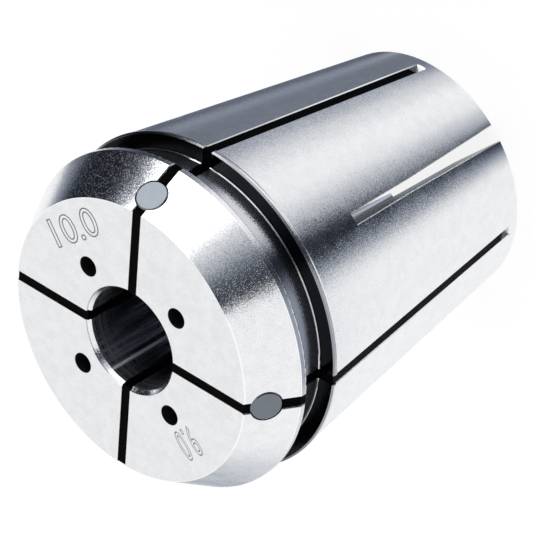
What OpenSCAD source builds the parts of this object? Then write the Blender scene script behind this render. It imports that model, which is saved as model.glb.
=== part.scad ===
// Sealed spring collet for a coolant-through tool holder, standing on its small rear end.
// +Z runs along the collet axis towards the front face, and the origin is the centre of the rear end.

/* [Collet body] */
// Largest diameter, at the rim in front of the extraction groove
rim_d = 33; // [28:0.5:40]
// Length from the rear end to the front face
total_len = 40; // [33:0.5:48]
// Diameter of the through bore that grips the tool shank
bore_d = 10; // [6:0.5:12]
// Angle between the long taper and the axis
taper_angle = 8; // [7:0.25:9]
// Angle between the nose cone and the axis
nose_angle = 30; // [26:1:34]
// Length of the nose cone along the axis
nose_len = 4.6; // [3.8:0.1:5.6]
// Width of the rim, from the nose cone to the groove
rim_land = 0.75; // [0.6:0.05:1.2]
// Rounding of the rim's edge on the groove
rim_edge_r = 0.3; // [0.1:0.05:0.4]
// How far the taper, carried on to the groove, stays inside the rim, on the radius
taper_step = 0.05; // [0.05:0.05:0.5]
// Chamfer round the rear end and the rear of the bore
rear_chamfer = 0.15; // [0.1:0.05:0.5]
// Radius added to the bore at its front mouth
mouth_flare = 0.35; // [0.1:0.05:0.5]
// Depth of the flared mouth of the bore
mouth_depth = 0.45; // [0.3:0.05:1.2]

/* [Extraction groove] */
// Diameter of the groove floor
groove_d = 29.6; // [24:0.2:31]
// Width of the groove along the axis
groove_w = 3.55; // [3:0.05:4.5]
// Fillet in the two corners of the groove floor
groove_fillet = 0.2; // [0.1:0.05:0.5]
// Width of the full-diameter lip between the groove and the taper
lip_w = 0.35; // [0.25:0.05:0.8]
// Chamfer on the lip's edge on the groove
lip_chamfer = 0.15; // [0.05:0.05:0.2]
// Length of the slope that brings the lip down to the taper
lip_slope_w = 0.25; // [0.1:0.05:0.5]

/* [Slots] */
// Width of the slots cut from the front
front_slot_w = 1; // [0.8:0.05:1.4]
// Metal left behind the closed end of a front slot, along the outside
front_slot_stop = 1.2; // [0.8:0.1:3]
// Radius of the saw that runs out at the closed end of a front slot
front_saw_r = 20; // [14:1:30]
// Width of the slots cut from the rear, at their closed end
rear_slot_w = 1.12; // [0.8:0.02:1.4]
// Width of the rear slots at the rear end, where the relaxed collet springs open
rear_slot_mouth_w = 1.6; // [1.4:0.05:2]
// Length over which a rear slot widens towards the rear end
rear_slot_flare_len = 14; // [8:1:16]
// Length of a rear slot along the outside
rear_slot_len = 23.1; // [19:0.1:26]
// Radius of the saw that cuts a rear slot
rear_saw_r = 40; // [30:1:60]
// Width of the break on the outer edges of every slot
slot_edge = 0.09; // [0.05:0.01:0.12]

/* [Seals] */
// Depth of the rubber below the metal round it
seal_recess = 0.1; // [0.05:0.05:0.3]
// Gap between the rubber and the curved floor of its slot
seal_floor_gap = 0.02; // [0.01:0.01:0.05]
// Distance from the rear end to the rear edge of the rubber
seal_start = 2.6; // [2:0.1:5]
// Diameter of the round seal plug
plug_d = 3; // [2:0.1:3.6]
// Length of the seal plug
plug_len = 3.4; // [2:0.1:5]
// Distance from the face edge to the plug centre, measured down the nose cone
plug_slant = 2.1; // [2:0.05:2.6]
// Gap round the plug in its pocket, on the radius
plug_clearance = 0.05; // [0.02:0.01:0.1]
// Chamfer on the visible edge of the plug
plug_chamfer = 0.12; // [0.05:0.01:0.2]

/* [Coolant holes] */
// Diameter of each coolant hole
coolant_d = 2; // [1.2:0.1:2.4]
// Diameter of the circle that the coolant holes lie on
coolant_circle_d = 15.1; // [14.5:0.1:18]
// How far a coolant hole runs into the rear slot behind it
coolant_overlap = 1; // [0.5:0.1:3]

/* [Hidden] */
// Slots cut from each end, with a rear slot midway between two front slots
slot_count = 4;
slot_pitch = 360 / slot_count;
SLOTS = [1 : slot_count];
$fn = 96;
// Extra length that carries a cut clear of the surface it starts from
over = 2;
// Side of the square bar whose half diagonal is the width of a slot's edge break
bar_w = slot_edge * sqrt(2);

rim_r = rim_d / 2;
bore_r = bore_d / 2;
groove_r = groove_d / 2;
face_r = rim_r - nose_len * tan(nose_angle);
rim_top_z = total_len - nose_len;
rim_bottom_z = rim_top_z - rim_land;
wall_z = rim_bottom_z - groove_w;
lip_z = wall_z - lip_w;
lip_slope_z = lip_z - lip_slope_w;
mouth_r = bore_r + mouth_flare;
// Radius of the long taper at the height z
function taper_r(z) = rim_r - taper_step - (wall_z - z) * tan(taper_angle);

// Point on the surface of radius r at the height z, at the distance half to one side of a slot's middle
function edge_point(r, half, z) = [sqrt(pow(r, 2) - pow(half, 2)), half, z];

// How far the front saw reaches past the bore wall, so that each slot opens into the bore
saw_past_bore = 1;
front_slot_inner_r = bore_r - saw_past_bore;
front_saw_x = front_slot_inner_r + front_saw_r;
front_saw_drop = sqrt(pow(front_saw_r, 2) - pow(front_saw_x - taper_r(front_slot_stop), 2));
front_saw_z = front_slot_stop + front_saw_drop;

// The rear saw is centred on the axis, so one pass cuts two opposite slots
rear_saw_z = rear_slot_len - sqrt(pow(rear_saw_r, 2) - pow(taper_r(rear_slot_len), 2));
coolant_r = coolant_circle_d / 2;
coolant_end_z = rear_saw_z + sqrt(pow(rear_saw_r, 2) - pow(coolant_r, 2)) - coolant_overlap;

plug_x = face_r + plug_slant * sin(nose_angle);
plug_z = total_len - plug_slant * cos(nose_angle);

// Puts its children at one front slot, counted from the one on +X, or midway to the next at a half
module at_slot(i) {
    rotate([0, 0, slot_pitch * (i - 1)]) children();
}

// Puts its children on the nose cone with +Z pointing straight out of it
module on_nose() {
    translate([plug_x, 0, plug_z]) rotate([0, 90 - nose_angle, 0]) children();
}

// A flat outline of radius and height, made into a plate that stands on the axis
module radial_plate(width) {
    rotate([90, 0, 0]) linear_extrude(width, center = true) children();
}

// Ring section of the solid body, with sharp groove corners and a cut rim edge
module body_outline() {
    polygon([
        [bore_r + rear_chamfer, 0],
        [taper_r(0) - rear_chamfer, 0],
        [taper_r(rear_chamfer), rear_chamfer],
        [taper_r(lip_slope_z), lip_slope_z],
        [rim_r, lip_z],
        [rim_r, wall_z - lip_chamfer],
        [rim_r - lip_chamfer, wall_z],
        [groove_r, wall_z],
        [groove_r, rim_bottom_z],
        [rim_r - rim_edge_r, rim_bottom_z],
        [rim_r, rim_bottom_z + rim_edge_r],
        [rim_r, rim_top_z],
        [face_r, total_len],
        [mouth_r, total_len],
        [bore_r, total_len - mouth_depth],
        [bore_r, rear_chamfer]
    ]);
}

// Fills one inner corner of the groove, leaving the fillet's hollow
module groove_corner() {
    difference() {
        square(groove_fillet);
        translate([groove_fillet, groove_fillet]) circle(groove_fillet);
    }
}

module turned_body() {
    rotate_extrude() {
        body_outline();
        translate([rim_r - rim_edge_r, rim_bottom_z + rim_edge_r]) circle(rim_edge_r);
        translate([groove_r, wall_z]) groove_corner();
        translate([groove_r, rim_bottom_z]) mirror([0, 1]) groove_corner();
    }
}

// Path of the saw that cuts a front slot, with its run-out at the rear
module front_saw_path(saw_r) {
    translate([front_slot_inner_r, front_saw_z]) square([rim_r, total_len]);
    translate([front_saw_x, front_saw_z]) circle(saw_r);
}

module front_slot() {
    radial_plate(front_slot_w) front_saw_path(front_saw_r);
}

// Square bar that breaks the straight edge from the point a to the point b at 45 degrees.
// Its ends reach past a by start and past b by end.
module edge_bar(a, b, start, end) {
    run = b - a;
    translate(a) rotate([-asin(run[1] / norm(run)), atan2(run[0], run[2]), 0]) rotate([0, 0, 45]) {
        translate([-bar_w / 2, -bar_w / 2, -start]) cube([bar_w, bar_w, norm(run) + start + end]);
    }
}

// Breaks on the outer edges of a front slot, along the taper, lip, groove floor, rim and nose cone
module front_slot_edges() {
    for (half = [-front_slot_w / 2, front_slot_w / 2]) {
        taper_start = edge_point(taper_r(front_slot_stop), half, front_slot_stop);
        taper_end = edge_point(taper_r(lip_slope_z), half, lip_slope_z);
        rim_corner = edge_point(rim_r, half, rim_top_z);
        floor_end = edge_point(groove_r, half, rim_bottom_z - groove_fillet);
        edge_bar(taper_start, taper_end, -slot_edge, slot_edge);
        edge_bar(edge_point(rim_r, half, lip_z), edge_point(rim_r, half, wall_z), slot_edge, over);
        edge_bar(edge_point(groove_r, half, wall_z + groove_fillet), floor_end, 0, 0);
        edge_bar(edge_point(rim_r, half, rim_bottom_z), rim_corner, slot_edge, slot_edge);
        edge_bar(rim_corner, edge_point(face_r, half, total_len), slot_edge, over);
    }
}

// Breaks on the outer edges of a rear slot: where it widens, along its even part and round its end
module rear_slot_edges() {
    end_r = taper_r(rear_slot_len);
    for (side = [-1, 1]) {
        bend = edge_point(taper_r(rear_slot_flare_len), side * rear_slot_w / 2, rear_slot_flare_len);
        edge_bar(edge_point(taper_r(0), side * rear_slot_mouth_w / 2, 0), bend, over, over);
        edge_bar(bend, edge_point(end_r, side * rear_slot_w / 2, rear_slot_len), over, 0);
    }
    edge_bar([end_r, -rear_slot_w / 2, rear_slot_len], [end_r, rear_slot_w / 2, rear_slot_len], 0, 0);
}

// Outline of a rear slot across its width, seen along the radius
module rear_slot_outline() {
    polygon([
        [-rear_slot_mouth_w / 2, -over],
        [rear_slot_mouth_w / 2, -over],
        [rear_slot_mouth_w / 2, 0],
        [rear_slot_w / 2, rear_slot_flare_len],
        [rear_slot_w / 2, total_len],
        [-rear_slot_w / 2, total_len],
        [-rear_slot_w / 2, rear_slot_flare_len],
        [-rear_slot_mouth_w / 2, 0]
    ]);
}

module rear_slot() {
    intersection() {
        rotate([90, 0, 90]) linear_extrude(rim_r) rear_slot_outline();
        translate([0, 0, rear_saw_z]) radial_plate(2 * rear_slot_mouth_w) circle(rear_saw_r);
    }
}

module coolant_hole() {
    translate([coolant_r, 0, coolant_end_z]) cylinder(d = coolant_d, h = total_len);
}

module plug_pocket() {
    on_nose() translate([0, 0, -plug_len]) {
        cylinder(r = plug_d / 2 + plug_clearance, h = plug_len + over);
    }
}

module collet_body() {
    color([0.84, 0.845, 0.855]) difference() {
        turned_body();
        for (i = SLOTS) {
            at_slot(i) front_slot();
            at_slot(i) front_slot_edges();
            at_slot(i) plug_pocket();
            at_slot(i + 0.5) rear_slot();
            at_slot(i + 0.5) rear_slot_edges();
            at_slot(i + 0.5) coolant_hole();
        }
    }
}

// Ring section of the space that the rubber fills, set back from the metal on every side
module seal_outline() {
    side = seal_recess / cos(nose_angle);
    nose_z = total_len - (rim_r - seal_recess + side - face_r) / tan(nose_angle);
    polygon([
        [bore_r + seal_recess, seal_start],
        [taper_r(seal_start) - seal_recess, seal_start],
        [taper_r(wall_z) - seal_recess, wall_z - seal_recess],
        [groove_r - seal_recess, wall_z - seal_recess],
        [groove_r - seal_recess, rim_bottom_z + seal_recess],
        [rim_r - seal_recess, rim_bottom_z + seal_recess],
        [rim_r - seal_recess, nose_z],
        [face_r + seal_recess * tan(nose_angle) - side, total_len - seal_recess],
        [bore_r + seal_recess, total_len - seal_recess]
    ]);
}

module slot_seal(i) {
    color([0.02, 0.02, 0.022]) at_slot(i) difference() {
        radial_plate(front_slot_w) intersection() {
            seal_outline();
            front_saw_path(front_saw_r - seal_floor_gap);
        }
        plug_pocket();
    }
}

module seal_plug(i) {
    color([0.2, 0.23, 0.27]) at_slot(i) on_nose() rotate_extrude() {
        polygon([
            [0, -plug_len],
            [plug_d / 2, -plug_len],
            [plug_d / 2, -plug_chamfer],
            [plug_d / 2 - plug_chamfer, 0],
            [0, 0]
        ]);
    }
}

collet_body();
for (i = SLOTS) {
    slot_seal(i);
    seal_plug(i);
}
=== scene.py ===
import math

import bpy
from mathutils import Matrix, Vector


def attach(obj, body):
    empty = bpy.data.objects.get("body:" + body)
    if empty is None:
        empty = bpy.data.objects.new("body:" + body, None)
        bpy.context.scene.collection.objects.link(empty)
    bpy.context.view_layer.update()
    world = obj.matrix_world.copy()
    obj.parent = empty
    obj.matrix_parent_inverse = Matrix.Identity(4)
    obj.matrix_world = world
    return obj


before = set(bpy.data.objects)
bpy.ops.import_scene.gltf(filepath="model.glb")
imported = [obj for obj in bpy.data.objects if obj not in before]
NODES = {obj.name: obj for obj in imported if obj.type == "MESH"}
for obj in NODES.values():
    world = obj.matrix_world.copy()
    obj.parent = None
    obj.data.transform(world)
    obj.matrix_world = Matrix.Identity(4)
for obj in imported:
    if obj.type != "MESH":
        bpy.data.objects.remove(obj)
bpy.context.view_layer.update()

# Camera, in metres, with its lens and sensor in millimetres
CAMERA_PLACE = Vector((0.21063, 0.23457, 0.2802))
CAMERA_AIM = Vector((-0.00016, -0.00115, 0.02118))
CAMERA_UP = Vector((-0.42687, 0.81418, -0.39357))
CAMERA_LENS = 299.53
SENSOR_WIDTH = 36

# Sizes of the CAD body that the materials and the studio mats follow, in metres
MM = 0.001
LENGTH = 40 * MM
RIM_R = 16.5 * MM
RIM_TOP_Z = 35.4 * MM
RIM_BOTTOM_Z = 34.65 * MM
GROOVE_R = 14.8 * MM
LIP_TOP_Z = 30.95 * MM
FACE_R = 13.84 * MM
BORE_R = 5 * MM
TAPER_END_R = 12.08 * MM
TAPER_ANGLE = math.radians(8)
NOSE_ANGLE = math.radians(30)


class Graph:
    """The nodes of one material. Each call adds a node and returns its result."""

    def __init__(self, name):
        self.mat = bpy.data.materials.new(name)
        self.mat.use_nodes = True
        self.nodes, self.links = self.mat.node_tree.nodes, self.mat.node_tree.links
        self.nodes.clear()

    def put(self, socket, value):
        if isinstance(value, bpy.types.NodeSocket):
            self.links.new(value, socket)
        else:
            socket.default_value = value

    def math(self, operation, *values):
        node = self.nodes.new("ShaderNodeMath")
        node.operation = operation
        for socket, value in zip(node.inputs, values):
            self.put(socket, value)
        return node.outputs[0]

    def vector(self, operation, a, b):
        node = self.nodes.new("ShaderNodeVectorMath")
        node.operation = operation
        self.put(node.inputs[0], a)
        self.put(node.inputs["Scale"] if operation == "SCALE" else node.inputs[1], b)
        return node.outputs["Value"] if operation in ("LENGTH", "DOT_PRODUCT") else node.outputs["Vector"]

    def span(self, value, low, high, to_low=0.0, to_high=1.0):
        """Smooth step of value from low to high."""
        node = self.nodes.new("ShaderNodeMapRange")
        node.interpolation_type = "SMOOTHSTEP"
        for key, number in (("From Min", low), ("From Max", high), ("To Min", to_low), ("To Max", to_high)):
            node.inputs[key].default_value = number
        self.put(node.inputs["Value"], value)
        return node.outputs[0]

    def near(self, value, middle, reach, core):
        """1 where value is within core of middle, falling to 0 at reach."""
        return self.span(self.math("ABSOLUTE", self.math("SUBTRACT", value, middle)), reach, core)

    def mix(self, factor, a, b):
        """Colour between a and b."""
        node = self.nodes.new("ShaderNodeMix")
        node.data_type = "RGBA"
        self.put(node.inputs["Factor"], factor)
        self.put(node.inputs[6], (*a, 1) if isinstance(a, tuple) else a)
        self.put(node.inputs[7], (*b, 1) if isinstance(b, tuple) else b)
        return node.outputs[2]

    def blend(self, factor, a, b):
        """Number between a and b."""
        node = self.nodes.new("ShaderNodeMix")
        self.put(node.inputs["Factor"], factor)
        self.put(node.inputs["A"], a)
        self.put(node.inputs["B"], b)
        return node.outputs["Result"]

    def place(self):
        """Place on the part, its distance from the axis, and its height, in metres."""
        coords = self.nodes.new("ShaderNodeTexCoord").outputs["Object"]
        split = self.nodes.new("ShaderNodeSeparateXYZ")
        self.links.new(coords, split.inputs[0])
        flat = self.vector("MULTIPLY", coords, (1, 1, 0))
        return coords, self.vector("LENGTH", flat, (0, 0, 0)), split.outputs["Z"]

    def noise(self, vector, size, detail=2.0, stretch=(1, 1, 1)):
        """Noise whose grains are about size metres across. Gives the number and the colour."""
        node = self.nodes.new("ShaderNodeTexNoise")
        node.inputs["Scale"].default_value = 1 / size
        node.inputs["Detail"].default_value = detail
        self.links.new(self.vector("MULTIPLY", vector, stretch), node.inputs["Vector"])
        return node.outputs["Fac"], node.outputs["Color"]

    def rings(self, r, z, size):
        """Height of turned rings about size metres apart."""
        node = self.nodes.new("ShaderNodeCombineXYZ")
        self.links.new(r, node.inputs["X"])
        self.links.new(z, node.inputs["Y"])
        return self.noise(node.outputs[0], size, 1.0)[0]

    def cells(self, vector, size):
        """Random colour for each cell about size metres across."""
        node = self.nodes.new("ShaderNodeTexVoronoi")
        node.inputs["Scale"].default_value = 1 / size
        self.links.new(vector, node.inputs["Vector"])
        return node.outputs["Color"]

    def channels(self, color):
        node = self.nodes.new("ShaderNodeSeparateColor")
        self.links.new(color, node.inputs[0])
        return node.outputs

    def tilted(self, *parts):
        """Surface normal turned by random colours. parts: (colour from 0 to 1, amount)."""
        normal = self.nodes.new("ShaderNodeNewGeometry").outputs["Normal"]
        for color, amount in parts:
            centred = self.vector("SUBTRACT", color, (0.5, 0.5, 0.5))
            normal = self.vector("ADD", normal, self.vector("SCALE", centred, amount))
        return self.vector("NORMALIZE", normal, (0, 0, 0))

    def bump(self, height, distance, normal):
        node = self.nodes.new("ShaderNodeBump")
        node.inputs["Distance"].default_value = distance
        self.links.new(height, node.inputs["Height"])
        self.links.new(normal, node.inputs["Normal"])
        return node.outputs[0]

    def principled(self, color, roughness, normal=None, metallic=0.0, specular=0.5):
        node = self.nodes.new("ShaderNodeBsdfPrincipled")
        node.inputs["Metallic"].default_value = metallic
        node.inputs["Specular IOR Level"].default_value = specular
        self.put(node.inputs["Base Color"], color)
        self.put(node.inputs["Roughness"], roughness)
        if normal is not None:
            self.links.new(normal, node.inputs["Normal"])
        self.finish(node.outputs[0])

    def emission(self, color, strength):
        node = self.nodes.new("ShaderNodeEmission")
        self.put(node.inputs["Color"], (*color, 1) if isinstance(color, tuple) else color)
        self.put(node.inputs["Strength"], strength)
        return node.outputs[0]

    def finish(self, shader):
        out = self.nodes.new("ShaderNodeOutputMaterial")
        self.links.new(shader, out.inputs["Surface"])


# Colours of the steel, by how each surface was made, and of the painted shade in the groove
GROUND_STEEL = (0.88, 0.885, 0.895)
DULL_STEEL = (0.76, 0.765, 0.78)
POLISHED_STEEL = (0.93, 0.935, 0.94)
GROOVE_FLOOR = (0.62, 0.63, 0.66)
# Near-black painted shade on the groove's inner walls, and a less dark painted shade at the lip's outer edge
GROOVE_WALL_SHADE = (0.008, 0.009, 0.011)
LIP_EDGE = (0.3, 0.31, 0.33)
SAWN_STEEL = (0.55, 0.56, 0.58)
DRILLED_STEEL = (0.25, 0.26, 0.28)
TURNED_LINE = (0.35, 0.36, 0.39)
BORE_DARK = (0.2, 0.207, 0.23)
BORE_STEEL = (0.8, 0.82, 0.9)
# Colour of the painted highlight along the bore
BORE_HIGHLIGHT_COLOR = (0.9, 0.95, 1.0)

# Colours of the plugs, the rubber and the numbers, from the darkest to the lightest
PLUG_COLORS = ((0.16, 0.178, 0.2), (0.185, 0.203, 0.226))
SEAL_COLORS = ((0.0006, 0.0006, 0.0007), (0.0018, 0.0018, 0.002))
MARK_COLORS = ((0.13, 0.135, 0.145), (0.26, 0.265, 0.28))

# Roughness of the steel, by surface
MATT_ROUGH = 0.5
FACE_ROUGH = 0.45
WORN_ROUGH = 0.1
CUT_ROUGH = 0.3
GROOVE_ROUGH = 0.17
PAINTED_BORE_HIGHLIGHT_ROUGH = 0.6

# Where the finishes and the painted shade on the body change
FLARE_DEPTH = 0.5 * MM
FLARE_R = 5.4 * MM
DRILLED_R = 8.8 * MM
SKIN_DEPTH = 0.16 * MM
GROOVE_INSET = 0.3 * MM
LIP_EDGE_DEPTH = 0.2 * MM
BORE_SKIN = 0.05 * MM

# Polish of a worn edge, full up to its core and gone at its reach
WEAR_CORE = 0.03 * MM
WEAR_REACH = 0.1 * MM

# Distances over which one finish fades into the next
SOFT_EDGE = 0.02 * MM
WIDE_EDGE = 0.1 * MM

# Sizes of the patches, grains, facets, bore streaks and turned rings in the steel
PATCH_SIZE = 1.1 * MM
GRAIN_SIZE = 0.11 * MM
FACET_SIZE = 0.05 * MM
STREAK_SIZE = 0.3 * MM
RING_PITCH = 0.07 * MM
RING_HEIGHT = 0.004 * MM

# Azimuth and half width of the painted highlight along the bore, and the depth of the rings at its mouth
PAINTED_BORE_HIGHLIGHT = math.radians(-115.5)
PAINTED_BORE_HIGHLIGHT_HALF = 0.28 * MM
BORE_RINGS_DEPTH = 6 * MM


def body_material():
    """Ground steel, with darker steel on the slots, holes and bore, and painted shade on the groove's walls
    and lip edge.
    """
    g = Graph("body_steel")
    coords, r, z = g.place()
    on_taper = g.math("MULTIPLY_ADD", z, math.tan(TAPER_ANGLE), TAPER_END_R)
    on_cone = g.math("MULTIPLY_ADD", z, -math.tan(NOSE_ANGLE), FACE_R + LENGTH * math.tan(NOSE_ANGLE))
    outside_r = g.math("MINIMUM", g.math("MINIMUM", on_taper, on_cone), RIM_R)
    on_face = g.span(z, LENGTH - SOFT_EDGE, LENGTH - SOFT_EDGE / 4)
    on_nose = g.span(z, RIM_TOP_Z - SOFT_EDGE, RIM_TOP_Z + SOFT_EDGE)
    depth = g.math("SUBTRACT", outside_r, r)
    inside = g.span(depth, SKIN_DEPTH - 2 * SOFT_EDGE, SKIN_DEPTH + 2 * SOFT_EDGE)
    flare_z = LENGTH - FLARE_DEPTH
    in_flare = g.math("MULTIPLY", g.span(z, flare_z, flare_z + 2 * SOFT_EDGE),
                      g.span(r, FLARE_R + SOFT_EDGE, FLARE_R - SOFT_EDGE))
    inside = g.math("MULTIPLY", inside, g.math("SUBTRACT", 1.0, g.math("MAXIMUM", on_face, in_flare)))
    in_bore = g.math("MULTIPLY", g.span(r, BORE_R + BORE_SKIN, BORE_R), g.math("SUBTRACT", 1.0, in_flare))
    in_groove = g.math("MULTIPLY", g.span(z, LIP_TOP_Z - SOFT_EDGE, LIP_TOP_Z + SOFT_EDGE),
                       g.span(z, RIM_BOTTOM_Z + WIDE_EDGE, RIM_BOTTOM_Z))
    groove_start = GROOVE_R - GROOVE_INSET
    off_inside = g.span(r, groove_start - WIDE_EDGE, groove_start + WIDE_EDGE)
    in_groove = g.math("MULTIPLY", in_groove, off_inside)

    rim_edge = g.near(z, RIM_TOP_Z, WEAR_REACH, WEAR_CORE)
    face_edge = g.math("MULTIPLY", g.near(r, FACE_R, WEAR_REACH, WEAR_CORE),
                       g.span(z, LENGTH - 1.5 * WEAR_REACH, LENGTH - 0.5 * WEAR_REACH))
    worn = g.math("MAXIMUM", rim_edge, face_edge)

    mottle = g.noise(coords, PATCH_SIZE, 3.0)[0]
    fine_fac, fine = g.noise(coords, GRAIN_SIZE, 2.0)
    facets = g.cells(coords, FACET_SIZE)
    rare = g.span(g.channels(facets)[0], 0.88, 1.0, 0.08, 0.3)
    sheltered = g.math("MAXIMUM", g.math("MAXIMUM", on_face, inside), in_groove)
    sparkle = g.math("MULTIPLY", rare, g.blend(sheltered, g.blend(on_nose, 1.0, 0.6), 0.1))
    fine_tilt = g.blend(on_face, g.blend(on_nose, 0.2, 0.14), 0.07)
    streak_fac, streaks = g.noise(coords, STREAK_SIZE, 3.0, (1, 1, 0.03))
    normal = g.tilted((fine, fine_tilt), (facets, sparkle), (streaks, g.math("MULTIPLY", in_bore, 0.25)))
    turned = g.rings(r, z, RING_PITCH)
    ring_height = g.math("MULTIPLY", turned, g.math("MAXIMUM", in_flare, in_groove))
    normal = g.bump(ring_height, RING_HEIGHT, normal)

    # Painted highlight: a bright, rougher line down one side of the bore
    side = g.vector("DOT_PRODUCT", coords, (math.sin(PAINTED_BORE_HIGHLIGHT), -math.cos(PAINTED_BORE_HIGHLIGHT), 0))
    ahead = g.vector("DOT_PRODUCT", coords, (math.cos(PAINTED_BORE_HIGHLIGHT), math.sin(PAINTED_BORE_HIGHLIGHT), 0))
    painted_bore_highlight = g.math("MULTIPLY", g.span(g.math("ABSOLUTE", side), PAINTED_BORE_HIGHLIGHT_HALF, SOFT_EDGE),
                       g.math("GREATER_THAN", ahead, 0.0))
    painted_bore_highlight = g.math("MULTIPLY", painted_bore_highlight, in_bore)

    grain = g.math("ADD", g.span(mottle, 0.3, 0.7, 0.0, 0.4), g.span(fine_fac, 0.3, 0.7, 0.0, 0.6))
    color = g.mix(grain, DULL_STEEL, GROUND_STEEL)
    color = g.mix(worn, color, POLISHED_STEEL)
    beyond_holes = g.span(r, DRILLED_R - WIDE_EDGE, DRILLED_R + WIDE_EDGE)
    color = g.mix(inside, color, g.mix(beyond_holes, DRILLED_STEEL, SAWN_STEEL))
    color = g.mix(g.math("MULTIPLY", in_flare, g.span(turned, 0.55, 0.63)), color, TURNED_LINE)
    # Painted shade: the groove's walls are near black, and less dark at the lip's outer edge.
    lip_start = RIM_R - LIP_EDGE_DEPTH
    wall_shade = g.mix(g.span(r, lip_start, lip_start + 0.05 * MM), GROOVE_WALL_SHADE, LIP_EDGE)
    off_floor = g.span(r, GROOVE_R + SOFT_EDGE, GROOVE_R + WIDE_EDGE)
    color = g.mix(in_groove, color, g.mix(off_floor, GROOVE_FLOOR, wall_shade))
    near_mouth = g.span(z, LENGTH - BORE_RINGS_DEPTH, LENGTH - 1 * MM)
    bore_rings = g.math("MULTIPLY", g.span(turned, 0.45, 0.6), near_mouth)
    bore_tone = g.math("MAXIMUM", g.span(streak_fac, 0.45, 0.65), bore_rings)
    color = g.mix(in_bore, color, g.mix(bore_tone, BORE_DARK, BORE_STEEL))
    color = g.mix(painted_bore_highlight, color, BORE_HIGHLIGHT_COLOR)
    rough = g.math("MULTIPLY", g.span(mottle, 0.25, 0.75, 0.15, 0.2), g.blend(on_nose, 1.0, 0.8))
    matt_grain = g.math("MULTIPLY", on_nose, g.span(g.channels(facets)[1], 0.87, 1.0))
    for mask, amount in ((matt_grain, MATT_ROUGH), (on_face, FACE_ROUGH), (worn, WORN_ROUGH),
                         (inside, CUT_ROUGH), (in_groove, GROOVE_ROUGH)):
        rough = g.blend(mask, rough, amount)
    rough = g.blend(in_bore, rough, g.span(z, LENGTH - BORE_RINGS_DEPTH, LENGTH, 0.2, 0.33))
    rough = g.blend(painted_bore_highlight, rough, PAINTED_BORE_HIGHLIGHT_ROUGH)
    g.principled(color, rough, normal, metallic=1.0)
    return g.mat


def plug_material():
    g = Graph("plug_steel")
    coords = g.place()[0]
    fine_fac, fine = g.noise(coords, 0.16 * MM)
    color = g.mix(g.noise(coords, 0.8 * MM)[0], *PLUG_COLORS)
    g.principled(color, g.span(fine_fac, 0.3, 0.7, 0.13, 0.19), g.tilted((fine, 0.04)), metallic=1.0)
    return g.mat


def seal_material():
    g = Graph("seal_rubber")
    coords = g.place()[0]
    fac, fine = g.noise(coords, 0.25 * MM, 3.0)
    color = g.mix(fac, *SEAL_COLORS)
    g.principled(color, g.span(fac, 0.35, 0.7, 0.45, 0.25), g.tilted((fine, 0.3)), specular=0.012)
    return g.mat


def mark_material():
    """Dull grey of the lines that draw the numbers."""
    g = Graph("etched_mark")
    coords = g.place()[0]
    fac, fine = g.noise(coords, 0.12 * MM, 2.0)
    color = g.mix(fac, *MARK_COLORS)
    g.principled(color, g.span(fac, 0.3, 0.7, 0.4, 0.55), g.tilted((fine, 0.2)), metallic=1.0)
    return g.mat


def set_material(obj, mat):
    for index in range(len(obj.data.materials)):
        obj.data.materials[index] = mat
    if not obj.data.materials:
        obj.data.materials.append(mat)


MATERIALS = {"body": body_material(), "seal": seal_material(), "plug": plug_material()}
for name, obj in NODES.items():
    kind = "body" if name == "collet_body" else "seal" if "slot_seal" in name else "plug"
    set_material(obj, MATERIALS[kind])

# Plain numbers in outline, standing just proud of the face: the largest and smallest shank in millimetres.
# The line is a share of the lettering's own size, and the rise is in metres.
MARK_LINE = 0.016
MARK_UP = 0.006 * MM


def face_mark(name, number, width, height, center, along):
    """Outline of a number, in lines MARK_LINE of its size thick, that stand MARK_UP out of the face."""
    curve = bpy.data.curves.new(name, "FONT")
    curve.body = number
    curve.fill_mode = "NONE"
    curve.bevel_depth = MARK_LINE
    curve.bevel_resolution = 1
    curve.resolution_u = 4
    source = bpy.data.objects.new(name, curve)
    bpy.context.scene.collection.objects.link(source)
    bpy.context.view_layer.update()
    mesh = bpy.data.meshes.new_from_object(source.evaluated_get(bpy.context.evaluated_depsgraph_get()))
    bpy.data.objects.remove(source)
    obj = bpy.data.objects.new(name, mesh)
    bpy.context.scene.collection.objects.link(obj)
    low = [min(v.co[i] for v in mesh.vertices) for i in range(2)]
    high = [max(v.co[i] for v in mesh.vertices) for i in range(2)]
    across = Vector((*along, 0))
    upward = Vector((-along[1], along[0], 0))
    middle = Vector((*center, LENGTH))
    for v in mesh.vertices:
        x = ((v.co.x - low[0]) / (high[0] - low[0]) - 0.5) * width
        y = ((v.co.y - low[1]) / (high[1] - low[1]) - 0.5) * height
        v.co = middle + across * x + upward * y + Vector((0, 0, v.co.z / MARK_LINE * MARK_UP))
    set_material(obj, MARK_MATERIAL)
    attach(obj, "root")


MARK_MATERIAL = mark_material()
face_mark("face_mark_1", "10.0", 6.5 * MM, 2.9 * MM, (-7.3 * MM, 8.6 * MM), (0.778, 0.628))
face_mark("face_mark_2", "9.0", 2.6 * MM, 3.07 * MM, (7.77 * MM, -7.14 * MM), (-0.677, -0.736))

# Floor, brighter to the camera and to reflections than its own diffuse light makes it
FLOOR_SIZE = 6
FLOOR_COLOR = (0.15, 0.15, 0.15, 1)
FLOOR_SEEN = 0.87
FLOOR_REFLECTED = 0.6


def stage_object(name, points, faces, mat):
    mesh = bpy.data.meshes.new(name)
    mesh.from_pydata(points, [], faces)
    obj = bpy.data.objects.new(name, mesh)
    bpy.context.scene.collection.objects.link(obj)
    mesh.materials.append(mat)
    return obj


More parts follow.
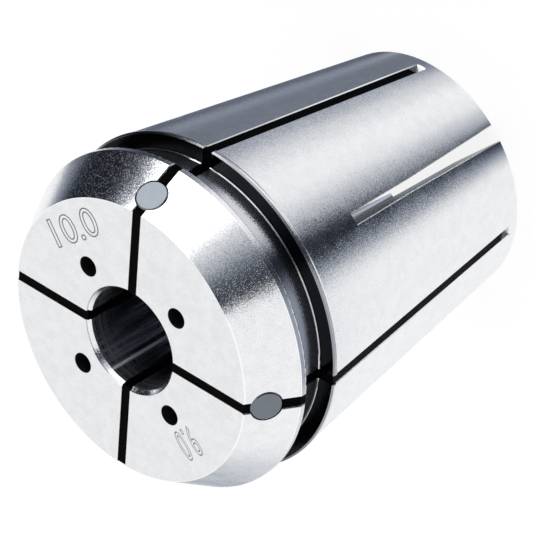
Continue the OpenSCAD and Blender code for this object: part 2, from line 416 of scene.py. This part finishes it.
def floor_material():
    g = Graph("floor_white")
    diffuse = g.nodes.new("ShaderNodeBsdfDiffuse")
    diffuse.inputs["Color"].default_value = FLOOR_COLOR
    path = g.nodes.new("ShaderNodeLightPath")
    seen = g.math("MAXIMUM", path.outputs["Is Camera Ray"], path.outputs["Is Transmission Ray"])
    seen = g.math("MULTIPLY", seen, FLOOR_SEEN)
    reflected = g.math("MULTIPLY", path.outputs["Is Glossy Ray"], FLOOR_REFLECTED)
    glow = g.emission((1, 1, 1), g.math("MAXIMUM", seen, reflected))
    both = g.nodes.new("ShaderNodeAddShader")
    g.links.new(diffuse.outputs[0], both.inputs[0])
    g.links.new(glow, both.inputs[1])
    g.finish(both.outputs[0])
    return g.mat


half = FLOOR_SIZE / 2
stage_object("floor", [(-half, -half, 0), (half, -half, 0), (half, half, 0), (-half, half, 0)],
             [(0, 1, 2, 3)], floor_material())

world = bpy.data.worlds.new("studio")
bpy.context.scene.world = world
world.use_nodes = True
world.node_tree.nodes["Background"].inputs["Color"].default_value = (1, 1, 1, 1)
world.node_tree.nodes["Background"].inputs["Strength"].default_value = 1.0

# Studio cards that only reflections see. Their bands are laid out along the reflections of the part's
# own surfaces, so a band stays straight along the taper and the nose cone. A stop is an azimuth in
# degrees round the part's surface and the tone that it reflects there.
BLACK = (0.012, 0.015, 0.022)
DARK = (0.035, 0.043, 0.062)
DUSK = (0.1, 0.12, 0.155)
DIM = (0.18, 0.205, 0.25)
SHADE = (0.33, 0.36, 0.43)
MIDDLE = (0.5, 0.53, 0.58)
PALE = (0.68, 0.7, 0.73)
LIGHT = (0.84, 0.85, 0.87)
SOFT = (0.95, 0.96, 0.97)
WHITE = (1.03, 1.03, 1.04)
LAMP = (1.6, 1.6, 1.6)
LAMP_CORE = (2.65, 2.65, 2.65)

TAPER_STOPS = [
    (-42, SOFT), (-26, SOFT), (-8, WHITE), (4, WHITE), (26, WHITE), (30, SOFT), (33, PALE), (36, SHADE),
    (38.5, DUSK), (40.5, DARK), (42.5, BLACK), (46.5, BLACK), (49, DUSK), (52.5, MIDDLE), (56, PALE),
    (60, SOFT), (66, WHITE), (71, WHITE), (76, LIGHT), (81, PALE), (86, SHADE), (92, DIM), (98, DIM),
    (104, DIM), (109, SHADE), (113, DIM), (116, DUSK), (120, DUSK), (123, DIM), (138, DUSK),
]
RIM_STOPS = [
    (-42, PALE), (-8, LIGHT), (1, LIGHT), (7, SHADE), (32, SHADE), (37, DIM), (41, DARK), (43, BLACK),
    (48, BLACK), (50, DUSK), (53, MIDDLE), (56, LIGHT), (61, WHITE), (74, WHITE), (78, MIDDLE), (83, DIM),
    (90, DIM), (95, DARK), (106, DARK), (114, DIM), (120, SHADE), (124, WHITE), (138, WHITE),
]
CONE_STOPS = [
    (-80, PALE), (-60, MIDDLE), (-54, SHADE), (-43, SHADE), (-38, MIDDLE), (-33, PALE), (-27, LIGHT),
    (-18, WHITE), (38.6, WHITE), (40, DUSK), (41, DARK), (47, DARK), (51, DIM), (56, MIDDLE), (62, LIGHT),
    (66, LAMP), (82, LAMP), (86, LAMP_CORE), (91, LAMP_CORE), (94.5, LAMP), (97, MIDDLE), (99.5, DUSK),
    (103, DARK), (108, BLACK), (124, BLACK), (128, DARK), (132, DUSK), (137, SHADE), (142, SOFT),
    (150, WHITE), (180, WHITE),
]

# Strength that the brightest tone is a share of, the height of the mats, and the reach of a card
RAMP_TOP = 3.0
MAT_Z = 0.1 * MM
CARD_REACH = 0.25

# Degrees between the columns of a card, and its rows by height in millimetres or tilt in degrees
AZIMUTH_STEP = 2
TAPER_HEIGHTS = (0.1, 1, 2, 4, 7, 11, 15, 19, 23, 27, 31)
RIM_HEIGHTS = (30, 34, 38, 42, 52, 68, 90)
NOSE_TILTS = (-22, -15, -8, -3, 0, 3, 8, 15, 22)


def azimuth_to_unit(azimuth):
    return (azimuth + 180) / 360


def band_color(g, stops):
    """Colour ramp round the part by the first UV coordinate, and the second UV coordinate."""
    coords = g.nodes.new("ShaderNodeTexCoord")
    split = g.nodes.new("ShaderNodeSeparateXYZ")
    g.links.new(coords.outputs["UV"], split.inputs[0])
    ramp = g.nodes.new("ShaderNodeValToRGB")
    elements = ramp.color_ramp.elements
    while len(elements) < len(stops):
        elements.new(0.5)
    for element, (azimuth, color) in zip(elements, stops):
        element.position = azimuth_to_unit(azimuth)
        element.color = (*(c / RAMP_TOP for c in color), 1)
    g.links.new(split.outputs["X"], ramp.inputs["Fac"])
    return ramp.outputs["Color"], split.outputs["Y"]


def card_material(name, stops, outer_stops=None):
    """Emission by bands. The outer bands take over where the second UV coordinate is 1."""
    g = Graph(name)
    color, outward = band_color(g, stops)
    if outer_stops:
        color = g.mix(outward, color, band_color(g, outer_stops)[0])
    g.finish(g.emission(color, RAMP_TOP))
    return g.mat


def reflected_place(radius, height, tilt, azimuth):
    """Where the light comes from that a turned surface reflects to the camera."""
    out = Vector((math.cos(azimuth), math.sin(azimuth), 0))
    point = out * radius + Vector((0, 0, height))
    normal = out * math.cos(tilt) + Vector((0, 0, math.sin(tilt)))
    view = (CAMERA_PLACE - point).normalized()
    ray = 2 * normal.dot(view) * normal - view
    reach = CARD_REACH
    if ray.z < 0:
        reach = min(reach, max(0.0, (height - MAT_Z) / -ray.z))
    return point + ray * reach


def hide_from_all_but_gloss(obj):
    for ray in ("camera", "diffuse", "transmission", "volume_scatter", "shadow"):
        setattr(obj, "visible_" + ray, False)


def card(name, rows, stops, outer_stops=None):
    """Card of the places that the rows reflect. rows: (radius, height, tilt, second UV coordinate)."""
    mat = card_material(name, stops, outer_stops)
    azimuths = range(stops[0][0], stops[-1][0] + 1, AZIMUTH_STEP)
    points, uvs, faces = [], [], []
    for radius, height, tilt, outward in rows:
        for azimuth in azimuths:
            points.append(reflected_place(radius, height, tilt, math.radians(azimuth)))
            uvs.append((azimuth_to_unit(azimuth), outward))
    width = len(azimuths)
    for row in range(len(rows) - 1):
        for i in range(width - 1):
            a = row * width + i
            faces.append((a, a + 1, a + 1 + width, a + width))
    obj = stage_object(name, points, faces, mat)
    layer = obj.data.uv_layers.new(name="bands")
    for loop in obj.data.loops:
        layer.data[loop.index].uv = uvs[loop.vertex_index]
    hide_from_all_but_gloss(obj)


taper_rows = [(TAPER_END_R + z * MM * math.tan(TAPER_ANGLE), z * MM, -TAPER_ANGLE, 0) for z in TAPER_HEIGHTS]
rim_rows = [(RIM_R, z * MM, 0, 1) for z in RIM_HEIGHTS]
card("floor_mat", taper_rows + rim_rows, TAPER_STOPS, RIM_STOPS)
NOSE_MID_R = (FACE_R + RIM_R) / 2
NOSE_MID_Z = (LENGTH + RIM_TOP_Z) / 2
cone_rows = [(NOSE_MID_R, NOSE_MID_Z, NOSE_ANGLE + math.radians(tilt), 0) for tilt in NOSE_TILTS]
card("nose_card", cone_rows, CONE_STOPS)


def disc(name, radius, height, mat, steps=48):
    angles = [2 * math.pi * i / steps for i in range(steps)]
    obj = stage_object(name, [(radius * math.cos(a), radius * math.sin(a), height) for a in angles],
                       [tuple(range(steps))], mat)
    hide_from_all_but_gloss(obj)


def bore_mat_material():
    g = Graph("bore_mat")
    g.finish(g.emission(MIDDLE, 1.0))
    return g.mat


# Grey mat under the bore
disc("bore_mat", BORE_R, MAT_Z / 2, bore_mat_material())


def make_camera():
    camera = bpy.data.cameras.new("camera")
    camera.lens = CAMERA_LENS
    camera.sensor_width = SENSOR_WIDTH
    camera.clip_start = 0.01
    camera.clip_end = 10
    obj = bpy.data.objects.new("camera", camera)
    bpy.context.scene.collection.objects.link(obj)
    back = (CAMERA_PLACE - CAMERA_AIM).normalized()
    right = CAMERA_UP.cross(back).normalized()
    up = back.cross(right)
    turn = Matrix((right, up, back)).transposed()
    obj.matrix_world = Matrix.Translation(CAMERA_PLACE) @ turn.to_4x4()
    return obj


bpy.context.scene.camera = make_camera()
bpy.context.scene.view_settings.view_transform = "Standard"
